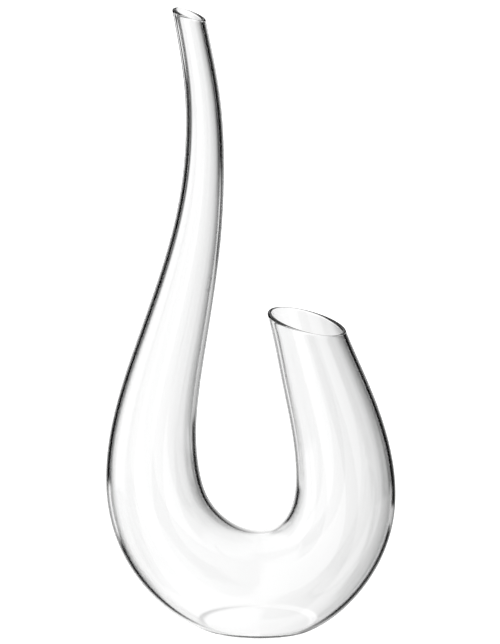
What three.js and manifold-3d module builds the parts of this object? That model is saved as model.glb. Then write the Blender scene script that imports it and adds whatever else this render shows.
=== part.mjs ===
// U-shaped wine decanter, mouth-blown clear glass.
//
// One bent glass tube: a tall slender pouring neck on the left (-X), a wide
// bowl across the bottom, and a shorter, wider filling neck on the right (+X).
// Both ends are cut on a slant and fire-polished into a rounded lip, and the
// bottom of the bowl is pressed flat into the foot that the decanter stands on.
//
// Units are millimetres, +Z is up. The origin is under the middle of the
// decanter, on the table. The tube's centre line lies in the plane Y = 0.
//
// The real object is a single blown piece. Each mesh below is one region of
// it, and neighbouring regions meet face to face, so that every hollow stretch
// is a simple solid of its own.

import * as THREE from 'three';
import { ParametricGeometry } from 'three/addons/geometries/ParametricGeometry.js';
import { mergeVertices } from 'three/addons/utils/BufferGeometryUtils.js';
import Module from 'manifold-3d';

// ---------------------------------------------------------------- dimensions

// Centre line and outer radius of the tube, from above the pouring lip, down
// through the bowl and up past the filling lip: [x, z, outer radius].
const CENTRE_LINE = [
  [ -39.5, 409.9,  9.16 ],
  [ -33.8, 379.3,  9.44 ],
  [ -29.2, 348.5, 10.36 ],
  [ -27.7, 317.4, 11.56 ],
  [ -29.1, 286.3, 12.99 ],
  [ -33.0, 255.4, 15.14 ],
  [ -39.1, 224.9, 17.62 ],
  [ -46.3, 194.6, 20.32 ],
  [ -53.6, 164.4, 23.10 ],
  [ -59.2, 133.8, 26.03 ],
  [ -60.6, 102.7, 28.99 ],
  [ -54.9,  72.2, 31.23 ],
  [ -38.3,  46.1, 33.16 ],
  [ -12.1,  29.4, 34.40 ],
  [  18.7,  28.4, 34.67 ],
  [  44.4,  46.7, 32.69 ],
  [  57.2,  74.7, 31.76 ],
  [  58.0, 105.8, 30.32 ],
  [  52.2, 136.4, 27.85 ],
  [  43.5, 166.3, 24.78 ],
  [  34.8, 196.2, 21.72 ],
  [  26.4, 226.2, 20.18 ]
];

const WALL = 2.4;                 // glass thickness of the tube
const FLOOR = 3.4;                // glass thickness under the bowl, at the foot

// The slanted rims: a point of each rim's plane and how far the plane falls
// towards +X, in degrees. The bead is the lip's full thickness.
const POURING_RIM = { x: -37.1, z: 396.0, fall: 20.8, bead: 2.5, blend: 8, reach: 46 };
const FILLING_RIM = { x: 34.9, z: 201.4, fall: 14.9, bead: 2.5, blend: 9, reach: 84 };

// Where one region ends and the next begins.
const FOOT_TOP = 9.0;             // the pressed foot reaches up to here
const BOWL_TOP = 64.0;            // just above the bottom of the U between the arms
const LEFT_ARM_TOP = 160.0;
const SHOULDER_TOP = 262.0;
const RIGHT_ARM_TOP = 132.0;
const POURING_LIP_DEPTH = 9.0;    // below the rim's plane
const FILLING_LIP_DEPTH = 10.0;

// Facets: sides round the tube, and rings along it.
const SIDES = 28;
const RINGS = 44;
const LIP_STEPS = 6;

// --------------------------------------------------------------- centre line

// A smooth curve through the table's points. y carries the outer radius.
class CentreLine extends THREE.Curve {

  constructor( table ) {

    super();
    this.at = [ 0 ];
    for ( let i = 1; i < table.length; i ++ ) {

      const [ x0, z0 ] = table[ i - 1 ];
      const [ x1, z1 ] = table[ i ];
      this.at.push( this.at[ i - 1 ] + Math.hypot( x1 - x0, z1 - z0 ) );

    }

    this.rows = [ 0, 2, 1 ].map( ( column ) => table.map( ( row ) => row[ column ] ) );
    this.bends = this.rows.map( ( row ) => this.secondDerivatives( row ) );
    this.length = this.at[ this.at.length - 1 ];

  }

  // Second derivatives of the natural cubic spline through one row of values.
  secondDerivatives( row ) {

    const n = row.length;
    const at = this.at;
    const upper = new Array( n ).fill( 0 );
    const right = new Array( n ).fill( 0 );
    for ( let i = 1; i < n - 1; i ++ ) {

      const h0 = at[ i ] - at[ i - 1 ];
      const h1 = at[ i + 1 ] - at[ i ];
      const jump = 6 * ( ( row[ i + 1 ] - row[ i ] ) / h1 - ( row[ i ] - row[ i - 1 ] ) / h0 );
      const pivot = 2 * ( h0 + h1 ) - h0 * upper[ i - 1 ];
      upper[ i ] = h1 / pivot;
      right[ i ] = ( jump - h0 * right[ i - 1 ] ) / pivot;

    }

    const bends = new Array( n ).fill( 0 );
    for ( let i = n - 2; i > 0; i -- ) bends[ i ] = right[ i ] - upper[ i ] * bends[ i + 1 ];
    return bends;

  }

  // [x, radius, z] at the length s along the table's chords.
  sample( s, target = new THREE.Vector3() ) {

    const at = this.at;
    let i = 1;
    while ( i < at.length - 1 && at[ i ] < s ) i ++;
    const h = at[ i ] - at[ i - 1 ];
    const b = ( s - at[ i - 1 ] ) / h;
    const a = 1 - b;
    const value = this.rows.map( ( row, k ) => {

      const bend = this.bends[ k ];
      return a * row[ i - 1 ] + b * row[ i ]
        + ( ( a ** 3 - a ) * bend[ i - 1 ] + ( b ** 3 - b ) * bend[ i ] ) * h * h / 6;

    } );
    return target.set( value[ 0 ], value[ 1 ], value[ 2 ] );

  }

  getPoint( t, target = new THREE.Vector3() ) {

    return this.sample( t * this.length, target );

  }

}

const line = new CentreLine( CENTRE_LINE );

// The point of the tube at length s and angle round it, at a distance in or
// out from the middle of the glass wall. Angle 0 points away from the bend's
// inside, in the plane Y = 0.
function tubePoint( s, angle, out, target = new THREE.Vector3() ) {

  const here = line.sample( s );
  const step = 0.05;
  const before = line.sample( s - step );
  const after = line.sample( s + step );
  const along = new THREE.Vector2( after.x - before.x, after.z - before.z ).normalize();
  const radius = here.y - WALL / 2 + out;
  const sideways = radius * Math.cos( angle );
  return target.set(
    here.x + along.y * sideways,
    radius * Math.sin( angle ),
    here.z - along.x * sideways
  );

}

// The length s at which the tube's line at one angle meets a rim's plane.
function rimLength( rim, angle, low, high ) {

  const fall = THREE.MathUtils.degToRad( rim.fall );
  const height = ( s ) => {

    const p = tubePoint( s, angle, 0 );
    return ( p.x - rim.x ) * Math.sin( fall ) + ( p.z - rim.z ) * Math.cos( fall );

  };
  const rising = height( high ) > height( low );
  for ( let i = 0; i < 50; i ++ ) {

    const middle = ( low + high ) / 2;
    if ( height( middle ) > 0 === rising ) high = middle; else low = middle;

  }

  return ( low + high ) / 2;

}

// ------------------------------------------------------------ rings of glass

// Each ring is { s(angle), out }: where it crosses the tube and how far it is
// from the middle of the wall. The rings run up one face of the wall, over a
// lip, back down the other face and over the other lip.

const angles = Array.from( { length: SIDES }, ( _, j ) => j * 2 * Math.PI / SIDES );
const pouringEnd = angles.map( ( angle ) => rimLength( POURING_RIM, angle, 1, 60 ) );
const fillingEnd = angles.map( ( angle ) => rimLength( FILLING_RIM, angle, line.length - 90, line.length - 1 ) );
const mean = ( values ) => values.reduce( ( sum, value ) => sum + value, 0 ) / values.length;

function smoothStep( x ) {

  return THREE.MathUtils.smoothstep( x, 0, 1 );

}

// Body rings stand square to the centre line in the middle and lean over to
// follow the slanted rims near the two ends.
function bodyRing( i ) {

  const t = i / RINGS;
  const start = mean( pouringEnd ) + POURING_RIM.blend;
  const end = mean( fillingEnd ) - FILLING_RIM.blend;
  const s = start + t * ( end - start );
  const leanStart = 1 - smoothStep( ( s - start ) / POURING_RIM.reach );
  const leanEnd = 1 - smoothStep( ( end - s ) / FILLING_RIM.reach );
  return ( j ) => s
    + leanStart * ( pouringEnd[ j ] - mean( pouringEnd ) )
    + leanEnd * ( fillingEnd[ j ] - mean( fillingEnd ) );

}

// Half the thickness of the glass at a distance from the rim.
function halfThickness( rim, depth ) {

  const round = rim.bead / 2;
  const t = smoothStep( ( depth - round ) / ( rim.blend - round ) );
  return THREE.MathUtils.lerp( round, WALL / 2, t );

}

const LIP_DEPTHS = [ 0.5, 0.22, 0 ];

function lipRings( rim, ends, inwards, outerFirst ) {

  const round = rim.bead / 2;
  const rings = [];
  const side = outerFirst ? 1 : - 1;
  const ring = ( depth, out ) => rings.push( { s: ( j ) => ends[ j ] + inwards * depth, out } );
  for ( const k of LIP_DEPTHS ) {

    const depth = round + k * ( rim.blend - round );
    ring( depth, side * halfThickness( rim, depth ) );

  }

  for ( let i = 1; i < LIP_STEPS; i ++ ) {

    const turn = Math.PI * i / LIP_STEPS;
    ring( round * ( 1 - Math.sin( turn ) ), side * round * Math.cos( turn ) );

  }

  for ( const k of [ ...LIP_DEPTHS ].reverse() ) {

    const depth = round + k * ( rim.blend - round );
    ring( depth, - side * halfThickness( rim, depth ) );

  }

  return rings;

}

const rings = [];
for ( let i = 0; i <= RINGS; i ++ ) rings.push( { s: bodyRing( i ), out: WALL / 2 } );
rings.push( ...lipRings( FILLING_RIM, fillingEnd, - 1, true ) );
for ( let i = RINGS; i >= 0; i -- ) rings.push( { s: bodyRing( i ), out: - WALL / 2 } );
rings.push( ...lipRings( POURING_RIM, pouringEnd, 1, false ) );

// ------------------------------------------------------- the whole glass wall

// The wall as one closed surface. It hasn't got its foot yet.
function wallPoint( u, v, target ) {

  const j = Math.round( u * SIDES ) % SIDES;
  const ring = rings[ Math.round( v * rings.length ) % rings.length ];
  return tubePoint( ring.s( j ), angles[ j ], ring.out, target );

}

// The bottom stretch of the tube, filled from wall to wall and closed by a cone
// into each end.
const FILLED = { first: 22, last: 38 };

function filledPoint( u, v, target ) {

  const j = Math.round( u * SIDES ) % SIDES;
  const i = FILLED.first + Math.round( v * ( FILLED.last - FILLED.first ) );
  const s = bodyRing( i )( j );
  if ( i > FILLED.first && i < FILLED.last ) return tubePoint( s, angles[ j ], WALL / 2, target );
  const here = line.sample( bodyRing( i )( 0 ) );
  return target.set( here.x, 0, here.z );

}

const wasm = await Module();
wasm.setup();

function toSolid( geometry ) {

  const bare = geometry.clone();
  bare.deleteAttribute( 'normal' );
  bare.deleteAttribute( 'uv' );
  const merged = mergeVertices( bare, 1e-4 );
  const corners = Array.from( merged.index.array );
  const triVerts = [];
  for ( let i = 0; i < corners.length; i += 3 ) {

    const [ a, b, c ] = corners.slice( i, i + 3 );
    if ( a !== b && b !== c && c !== a ) triVerts.push( a, b, c );

  }

  const build = ( order ) => new wasm.Manifold( new wasm.Mesh( {
    numProp: 3,
    vertProperties: new Float32Array( merged.attributes.position.array ),
    triVerts: new Uint32Array( order )
  } ) );
  const solid = build( triVerts );
  if ( solid.volume() > 0 ) return solid;
  for ( let i = 0; i < triVerts.length; i += 3 ) {

    const b = triVerts[ i + 1 ];
    triVerts[ i + 1 ] = triVerts[ i + 2 ];
    triVerts[ i + 2 ] = b;

  }

  return build( triVerts );

}

function toGeometry( solid ) {

  const mesh = solid.getMesh();
  const positions = new Float32Array( mesh.numVert * 3 );
  for ( let i = 0; i < mesh.numVert; i ++ ) {

    for ( let k = 0; k < 3; k ++ ) positions[ i * 3 + k ] = mesh.vertProperties[ i * mesh.numProp + k ];

  }

  const geometry = new THREE.BufferGeometry();
  geometry.setAttribute( 'position', new THREE.BufferAttribute( positions, 3 ) );
  geometry.setIndex( Array.from( mesh.triVerts ) );
  geometry.computeVertexNormals();
  return geometry;

}

const wall = toSolid( new ParametricGeometry( wallPoint, SIDES, rings.length ) );
const filled = toSolid( new ParametricGeometry( filledPoint, SIDES, FILLED.last - FILLED.first ) );

// The underside is pressed flat at z = 0, and the glass under the bowl is FLOOR thick.
const floorPlate = filled.trimByPlane( [ 0, 0, 1 ], 0 ).trimByPlane( [ 0, 0, - 1 ], - FLOOR );
const glass = wall.trimByPlane( [ 0, 0, 1 ], 0 ).add( floorPlate );

// ------------------------------------------------------------------- regions

const level = ( z ) => [ [ 0, 0, 1 ], z ];
const belowRim = ( rim, depth ) => {

  const fall = THREE.MathUtils.degToRad( rim.fall );
  const normal = [ Math.sin( fall ), 0, Math.cos( fall ) ];
  return [ normal, normal[ 0 ] * rim.x + normal[ 2 ] * rim.z - depth ];

};

const [ aboveFoot, foot ] = glass.splitByPlane( ...level( FOOT_TOP ) );
const [ arms, bowl ] = aboveFoot.splitByPlane( ...level( BOWL_TOP ) );
const [ rightSide, leftSide ] = arms.splitByPlane( [ 1, 0, 0 ], 0 );
const [ aboveLeftArm, leftArm ] = leftSide.splitByPlane( ...level( LEFT_ARM_TOP ) );
const [ neckAndLip, shoulder ] = aboveLeftArm.splitByPlane( ...level( SHOULDER_TOP ) );
const [ pouringLip, pouringNeck ] = neckAndLip.splitByPlane( ...belowRim( POURING_RIM, POURING_LIP_DEPTH ) );
const [ aboveRightArm, rightArm ] = rightSide.splitByPlane( ...level( RIGHT_ARM_TOP ) );
const [ fillingLip, fillingNeck ] = aboveRightArm.splitByPlane( ...belowRim( FILLING_RIM, FILLING_LIP_DEPTH ) );

// --------------------------------------------------------------------- model

const decanter = new THREE.Group();

function addRegion( name, solid ) {

  const material = new THREE.MeshStandardMaterial( { color: 0xf1f5f4, roughness: 0.03, metalness: 0 } );
  const mesh = new THREE.Mesh( toGeometry( solid ), material );
  mesh.name = name;
  decanter.add( mesh );

}

addRegion( 'pouring_lip', pouringLip );
addRegion( 'pouring_neck', pouringNeck );
addRegion( 'shoulder', shoulder );
addRegion( 'left_arm', leftArm );
addRegion( 'bowl', bowl );
addRegion( 'foot', foot );
addRegion( 'right_arm', rightArm );
addRegion( 'filling_neck', fillingNeck );
addRegion( 'filling_lip', fillingLip );

export default decanter;
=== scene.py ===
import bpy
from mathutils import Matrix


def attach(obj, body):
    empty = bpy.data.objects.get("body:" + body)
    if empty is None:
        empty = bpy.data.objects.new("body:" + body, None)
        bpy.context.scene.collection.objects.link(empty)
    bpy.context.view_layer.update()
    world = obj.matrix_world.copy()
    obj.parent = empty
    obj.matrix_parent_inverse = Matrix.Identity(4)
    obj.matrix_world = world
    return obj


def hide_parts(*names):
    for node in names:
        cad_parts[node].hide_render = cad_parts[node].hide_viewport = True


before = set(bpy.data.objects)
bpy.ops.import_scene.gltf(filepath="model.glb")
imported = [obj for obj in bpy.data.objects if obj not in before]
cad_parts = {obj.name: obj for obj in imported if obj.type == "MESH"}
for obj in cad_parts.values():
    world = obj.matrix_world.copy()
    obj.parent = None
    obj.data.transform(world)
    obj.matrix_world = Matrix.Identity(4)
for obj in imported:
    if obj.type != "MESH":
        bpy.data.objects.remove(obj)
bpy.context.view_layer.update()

import math

import bpy
import numpy as np
from mathutils import Matrix, Vector

scene = bpy.context.scene
MM = 0.001

# ------------------------------------------------------------------ the camera
# Level with the photograph's view: straight along +Y and about 19.5 degrees down.

CAMERA_DISTANCE = 2.679
CAMERA_ELEVATION = 19.5
CAMERA_AIM = (-0.0003, 0.0, 0.2010)
CAMERA_FIELD = 8.4          # degrees over the frame's height

camera_data = bpy.data.cameras.new("camera")
camera = bpy.data.objects.new("camera", camera_data)
scene.collection.objects.link(camera)
scene.camera = camera
e = math.radians(CAMERA_ELEVATION)
aim = Vector(CAMERA_AIM)
camera.location = aim + CAMERA_DISTANCE * Vector((0.0, -math.cos(e), math.sin(e)))
camera.rotation_euler = (aim - camera.location).to_track_quat("-Z", "Y").to_euler()
camera_data.sensor_fit = "VERTICAL"
camera_data.sensor_height = 24.0
camera_data.lens = 12.0 / math.tan(math.radians(CAMERA_FIELD) / 2)
camera_data.clip_start = 0.05
camera_data.clip_end = 100.0

# ------------------------------------------------------------- the glass shape
# The same centre line and radii as the CAD model, sampled much more finely.

CENTRE_LINE = np.array([
    [-39.5, 409.9, 9.16], [-33.8, 379.3, 9.44], [-29.2, 348.5, 10.36],
    [-27.7, 317.4, 11.56], [-29.1, 286.3, 12.99], [-33.0, 255.4, 15.14],
    [-39.1, 224.9, 17.62], [-46.3, 194.6, 20.32], [-53.6, 164.4, 23.10],
    [-59.2, 133.8, 26.03], [-60.6, 102.7, 28.99], [-54.9, 72.2, 31.23],
    [-38.3, 46.1, 33.16], [-12.1, 29.4, 34.40], [18.7, 28.4, 34.67],
    [44.4, 46.7, 32.69], [57.2, 74.7, 31.76], [58.0, 105.8, 30.32],
    [52.2, 136.4, 27.85], [43.5, 166.3, 24.78], [34.8, 196.2, 21.72],
    [26.4, 226.2, 20.18]])
WALL = 2.4
FLOOR = 3.4
FOOT_EDGE = 1.4
FLOOR_EDGE = 0.6
POURING_RIM = dict(x=-37.1, z=396.0, fall=20.8, bead=2.5, blend=8.0, reach=46.0)
FILLING_RIM = dict(x=34.9, z=201.4, fall=14.9, bead=2.5, blend=9.0, reach=84.0)
SIDES = 112
RINGS = 320
LIP_STEPS = 14
LIP_BLENDS = 8


class CentreLine:
    """A natural cubic spline through the table, along the length of its chords."""

    def __init__(self, table):
        self.table = table
        steps = np.hypot(np.diff(table[:, 0]), np.diff(table[:, 1]))
        self.at = np.concatenate([[0.0], np.cumsum(steps)])
        self.length = self.at[-1]
        n = len(table)
        system = np.eye(n)
        right = np.zeros_like(table)
        for i in range(1, n - 1):
            h0, h1 = steps[i - 1], steps[i]
            system[i, i - 1:i + 2] = [h0, 2 * (h0 + h1), h1]
            right[i] = 6 * ((table[i + 1] - table[i]) / h1 - (table[i] - table[i - 1]) / h0)
        self.bends = np.linalg.solve(system, right)

    def sample(self, s):
        s = np.asarray(s, float)
        i = np.clip(np.searchsorted(self.at, s), 1, len(self.at) - 1)
        h = (self.at[i] - self.at[i - 1])[..., None]
        b = ((s - self.at[i - 1])[..., None]) / h
        a = 1 - b
        return (a * self.table[i - 1] + b * self.table[i]
                + ((a ** 3 - a) * self.bends[i - 1] + (b ** 3 - b) * self.bends[i]) * h * h / 6)


line = CentreLine(CENTRE_LINE)


def tube_point(s, angle, out):
    """Points of the tube, out millimetres from the middle of the wall."""
    here = line.sample(s)
    along = line.sample(np.asarray(s) + 0.05)[..., :2] - line.sample(np.asarray(s) - 0.05)[..., :2]
    along = along / np.linalg.norm(along, axis=-1, keepdims=True)
    radius = here[..., 2] - WALL / 2 + out
    side = radius * np.cos(angle)
    return np.stack([here[..., 0] + along[..., 1] * side,
                     radius * np.sin(angle),
                     here[..., 1] - along[..., 0] * side], -1)


def rim_length(rim, angle, low, high):
    """Where the tube's line at each angle meets the rim's plane."""
    fall = math.radians(rim["fall"])
    low = np.full_like(angle, low)
    high = np.full_like(angle, high)

    def height(s):
        p = tube_point(s, angle, 0.0)
        return (p[:, 0] - rim["x"]) * math.sin(fall) + (p[:, 2] - rim["z"]) * math.cos(fall)

    rising = height(high) > height(low)
    for _ in range(50):
        middle = (low + high) / 2
        up = (height(middle) > 0) == rising
        high = np.where(up, middle, high)
        low = np.where(up, low, middle)
    return (low + high) / 2


def smooth_step(x):
    x = np.clip(x, 0.0, 1.0)
    return x * x * (3 - 2 * x)


def rounded_max(a, b, k):
    h = np.maximum(k - np.abs(a - b), 0) / k
    return np.maximum(a, b) + h * h * k / 4


# The lines of the mesh are closer together on the outer side of the bend and
# round the foot, where the pressed edge is.
angles = np.arange(SIDES) * 2 * math.pi / SIDES
angles = angles - 0.45 * np.sin(angles)
pouring_end = rim_length(POURING_RIM, angles, 1.0, 60.0)
filling_end = rim_length(FILLING_RIM, angles, line.length - 90, line.length - 1)


start = pouring_end.mean() + POURING_RIM["blend"]
end = filling_end.mean() - FILLING_RIM["blend"]
steps = np.linspace(start, end, 4001)
lowest = steps[np.argmin(line.sample(steps)[:, 1])]
crowd = np.cumsum(1 + 2.2 * np.exp(-((steps - lowest) / 80.0) ** 2))
ring_lengths = np.interp(np.linspace(crowd[0], crowd[-1], RINGS + 1), crowd, steps)


def body_ring(i):
    s = ring_lengths[i]
    lean_start = 1 - smooth_step((s - start) / POURING_RIM["reach"])
    lean_end = 1 - smooth_step((end - s) / FILLING_RIM["reach"])
    return (s + lean_start * (pouring_end - pouring_end.mean())
            + lean_end * (filling_end - filling_end.mean()))


def half_thickness(rim, depth):
    r = rim["bead"] / 2
    return r + (WALL / 2 - r) * smooth_step((depth - r) / (rim["blend"] - r))


def lip_rings(rim, ends, inwards, outer_first):
    r = rim["bead"] / 2
    side = 1 if outer_first else -1
    rings = []
    blends = [k / LIP_BLENDS for k in range(LIP_BLENDS - 1, -1, -1)]
    for k in blends:
        depth = r + k * (rim["blend"] - r)
        rings.append((ends + inwards * depth, side * half_thickness(rim, depth), 1.0))
    for i in range(1, LIP_STEPS):
        turn = math.pi * i / LIP_STEPS
        rings.append((ends + inwards * r * (1 - math.sin(turn)), side * r * math.cos(turn), 1.0))
    for k in reversed(blends):
        depth = r + k * (rim["blend"] - r)
        rings.append((ends + inwards * depth, -side * half_thickness(rim, depth), 1.0))
    return rings


rings = [(body_ring(i), WALL / 2, 0.0) for i in range(RINGS + 1)]
rings += lip_rings(FILLING_RIM, filling_end, -1, True)
rings += [(body_ring(i), -WALL / 2, 0.0) for i in range(RINGS, -1, -1)]
rings += lip_rings(POURING_RIM, pouring_end, 1, False)


def waviness(s, angle, phase):
    """The slight unevenness of blown glass, in millimetres."""
    return (0.014 * np.sin(s / 31.0 + 2 * angle + phase)
            + 0.010 * np.sin(s / 17.0 - angle + 2.1 * phase)
            + 0.008 * np.sin(s / 53.0 + 3 * angle + 0.7 * phase))


points = []
for s, out, lip in rings:
    p = tube_point(s, angles, out + waviness(s, angles, 0.4 if out > 0 else 2.3) * (1 - 0.7 * lip))
    if out > 0:
        p[:, 2] = rounded_max(p[:, 2], 0.0, FOOT_EDGE)
    else:
        p[:, 2] = rounded_max(p[:, 2], FLOOR, FLOOR_EDGE)
    points.append(p)
points = np.array(points)
n_rings = len(rings)
vertices = points.reshape(-1, 3) * MM

i = np.repeat(np.arange(n_rings), SIDES)
j = np.tile(np.arange(SIDES), n_rings)
i1 = (i + 1) % n_rings
j1 = (j + 1) % SIDES
quads = np.stack([i * SIDES + j, i * SIDES + j1, i1 * SIDES + j1, i1 * SIDES + j], 1)

# Faces point out: the shell's signed volume is positive.
corner = vertices[quads]
volume = np.einsum("ij,ij->i", corner[:, 0], np.cross(corner[:, 1], corner[:, 2])).sum() \
    + np.einsum("ij,ij->i", corner[:, 0], np.cross(corner[:, 2], corner[:, 3])).sum()
if volume < 0:
    quads = quads[:, ::-1]

mesh = bpy.data.meshes.new("decanter_glass")
mesh.vertices.add(len(vertices))
mesh.vertices.foreach_set("co", vertices.astype(np.float32).ravel())
mesh.loops.add(quads.size)
mesh.loops.foreach_set("vertex_index", quads.astype(np.int32).ravel())
mesh.polygons.add(len(quads))
mesh.polygons.foreach_set("loop_start", np.arange(0, quads.size, 4, dtype=np.int32))
mesh.polygons.foreach_set("loop_total", np.full(len(quads), 4, np.int32))
mesh.update(calc_edges=True)
mesh.validate()
mesh.polygons.foreach_set("use_smooth", np.ones(len(mesh.polygons), bool))
mesh.update()

glass = bpy.data.objects.new("decanter_glass", mesh)
scene.collection.objects.link(glass)
glass.visible_shadow = False


# ------------------------------------------------------------------- materials

def node(tree, kind, **values):
    n = tree.nodes.new(kind)
    for key, value in values.items():
        setattr(n, key, value)
    return n


def clear_glass():
    material = bpy.data.materials.new("clear_glass")
    material.use_nodes = True
    tree = material.node_tree
    shader = tree.nodes["Principled BSDF"]
    shader.inputs["Transmission Weight"].default_value = 1.0
    shader.inputs["IOR"].default_value = 1.5
    shader.inputs["Base Color"].default_value = (0.997, 0.998, 0.998, 1)
    where = node(tree, "ShaderNodeTexCoord")
    # Fine polish variation.
    polish = node(tree, "ShaderNodeTexNoise")
    polish.inputs["Scale"].default_value = 60.0
    polish.inputs["Detail"].default_value = 3.0
    tree.links.new(where.outputs["Object"], polish.inputs["Vector"])
    rough = node(tree, "ShaderNodeMapRange")
    rough.inputs["To Min"].default_value = 0.0
    rough.inputs["To Max"].default_value = 0.006
    tree.links.new(polish.outputs["Fac"], rough.inputs["Value"])
    tree.links.new(rough.outputs["Result"], shader.inputs["Roughness"])
    # Drawn striae that run along the tube, very faint.
    stretch = node(tree, "ShaderNodeMapping")
    stretch.inputs["Scale"].default_value = (30.0, 30.0, 6.0)
    tree.links.new(where.outputs["Object"], stretch.inputs["Vector"])
    striae = node(tree, "ShaderNodeTexNoise")
    striae.inputs["Scale"].default_value = 1.0
    striae.inputs["Detail"].default_value = 2.0
    tree.links.new(stretch.outputs["Vector"], striae.inputs["Vector"])
    bump = node(tree, "ShaderNodeBump")
    bump.inputs["Strength"].default_value = 0.06
    bump.inputs["Distance"].default_value = 0.0004
    tree.links.new(striae.outputs["Fac"], bump.inputs["Height"])
    tree.links.new(bump.outputs["Normal"], shader.inputs["Normal"])
    return material


glass.data.materials.append(clear_glass())
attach(glass, "root")
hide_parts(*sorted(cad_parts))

# ------------------------------------------------------------- floor and light


def floor_material():
    material = bpy.data.materials.new("floor")
    material.use_nodes = True
    tree = material.node_tree
    shader = tree.nodes["Principled BSDF"]
    shader.inputs["Base Color"].default_value = (0.8, 0.8, 0.8, 1)
    shader.inputs["Roughness"].default_value = 1.0
    shader.inputs["Specular IOR Level"].default_value = 0.0
    shader.inputs["Emission Color"].default_value = (1, 1, 1, 1)
    shader.inputs["Emission Strength"].default_value = 0.75
    return material


floor_mesh = bpy.data.meshes.new("floor")
half = 12.0
floor_mesh.from_pydata([(-half, -half, -0.0002), (half, -half, -0.0002), (half, half, -0.0002), (-half, half, -0.0002)],
                       [], [(0, 1, 2, 3)])
floor = bpy.data.objects.new("floor", floor_mesh)
scene.collection.objects.link(floor)
floor.data.materials.append(floor_material())
floor.visible_transmission = False
floor.visible_glossy = False

# The studio round the decanter: a white backdrop, white sides and front, black
# flags between them, a pale table low down and a broad soft box overhead.
BACKDROP_RIGHT = (-1.0, 22.0)
BACKDROP_LEFT = (-14.0, -22.0)
world = bpy.data.worlds.new("studio")
scene.world = world
world.use_nodes = True
tree = world.node_tree
tree.nodes.clear()


def math_node(operation, a, b=None, c=None, clamp=False):
    n = node(tree, "ShaderNodeMath", operation=operation, use_clamp=clamp)
    for k, v in enumerate((a, b, c)):
        if v is None:
            continue
        if isinstance(v, (int, float)):
            n.inputs[k].default_value = v
        else:
            tree.links.new(v, n.inputs[k])
    return n.outputs[0]


def ramp(value, start, end, kind="SMOOTHSTEP"):
    """0 at start, 1 at end; start may be above end."""
    n = node(tree, "ShaderNodeMapRange", interpolation_type=kind)
    n.inputs["From Min"].default_value = start
    n.inputs["From Max"].default_value = end
    tree.links.new(value, n.inputs["Value"])
    return n.outputs["Result"]


def product(*values):
    result = values[0]
    for value in values[1:]:
        result = math_node("MULTIPLY", result, value)
    return result


def brightest(*values):
    result = values[0]
    for value in values[1:]:
        result = math_node("MAXIMUM", result, value)
    return result


# Directions: azimuth 0 is +Y, the backdrop, and grows towards +X; 90 is +X.
where = node(tree, "ShaderNodeTexCoord")
split = node(tree, "ShaderNodeSeparateXYZ")
tree.links.new(where.outputs["Generated"], split.inputs[0])
dx, dy, dz = split.outputs
azimuth = math_node("DEGREES", math_node("ARCTAN2", dx, dy))
elevation = math_node("DEGREES", math_node("ARCSINE", math_node("MINIMUM", math_node("MAXIMUM", dz, -1.0), 1.0)))


def window(centre, half, soft):
    """1 within half of centre, in degrees of azimuth, with a soft edge."""
    off = math_node("ABSOLUTE", math_node("WRAP", math_node("SUBTRACT", azimuth, centre), 180.0, -180.0))
    return ramp(off, half + soft, half)


# White backdrop, fading off to the right sooner than to the left.
backdrop = product(ramp(azimuth, BACKDROP_RIGHT[1], BACKDROP_RIGHT[0], "LINEAR"),
                   ramp(azimuth, BACKDROP_LEFT[1], BACKDROP_LEFT[0], "LINEAR"),
                   ramp(elevation, 40.0, 20.0), 1.06)
# A pale grey band runs across the backdrop just above the decanter's level.
band = product(ramp(elevation, 1.0, 5.0), ramp(elevation, 20.0, 14.0), 0.3)
backdrop = product(backdrop, math_node("SUBTRACT", 1.0, band))
# White panels at the sides and in front, with dark cloth between them, and a
# low panel and three small cards. Black flags stand on both sides of the backdrop.
low_panel = product(window(-45.0, 8.0, 3.0), ramp(elevation, -20.0, -22.0), ramp(elevation, -34.0, -30.0))
panels = brightest(window(135.0, 14.0, 5.0), window(-158.0, 20.0, 5.0), window(-90.0, 14.0, 5.0), low_panel)
cloth = product(window(180.0, 86.0, 6.0), 0.25)
cards = brightest(product(window(-34.0, 6.0, 3.0), ramp(elevation, -21.0, -23.0), ramp(elevation, -33.0, -29.0), 0.4),
                  product(window(40.0, 14.0, 3.0), ramp(elevation, -22.0, -23.5), ramp(elevation, -27.5, -26.0), 0.5),
                  product(window(-32.0, 10.0, 3.0), ramp(elevation, -4.0, -1.0), ramp(elevation, 14.0, 11.0), 0.55))
# The pale table, which reaches higher on the right.
table = brightest(product(ramp(elevation, -50.0, -56.0), 0.85),
                  product(ramp(elevation, -16.0, -20.0), window(75.0, 30.0, 3.0), 0.78))
overhead = product(ramp(elevation, 12.0, 30.0), 0.9)
level = brightest(backdrop, panels, cloth, cards, table, overhead, 0.004)
path = node(tree, "ShaderNodeLightPath")
plain = node(tree, "ShaderNodeMix", data_type="FLOAT")
tree.links.new(path.outputs["Is Camera Ray"], plain.inputs["Factor"])
tree.links.new(level, plain.inputs[2])
plain.inputs[3].default_value = 1.0
background = node(tree, "ShaderNodeBackground")
background.inputs["Color"].default_value = (1, 1, 1, 1)
tree.links.new(plain.outputs[0], background.inputs["Strength"])
output = node(tree, "ShaderNodeOutputWorld")
tree.links.new(background.outputs[0], output.inputs[0])

scene.view_settings.view_transform = "Standard"
scene.view_settings.look = "None"
scene.cycles.max_bounces = 32
scene.cycles.transmission_bounces = 32
scene.cycles.glossy_bounces = 8
scene.cycles.caustics_refractive = True
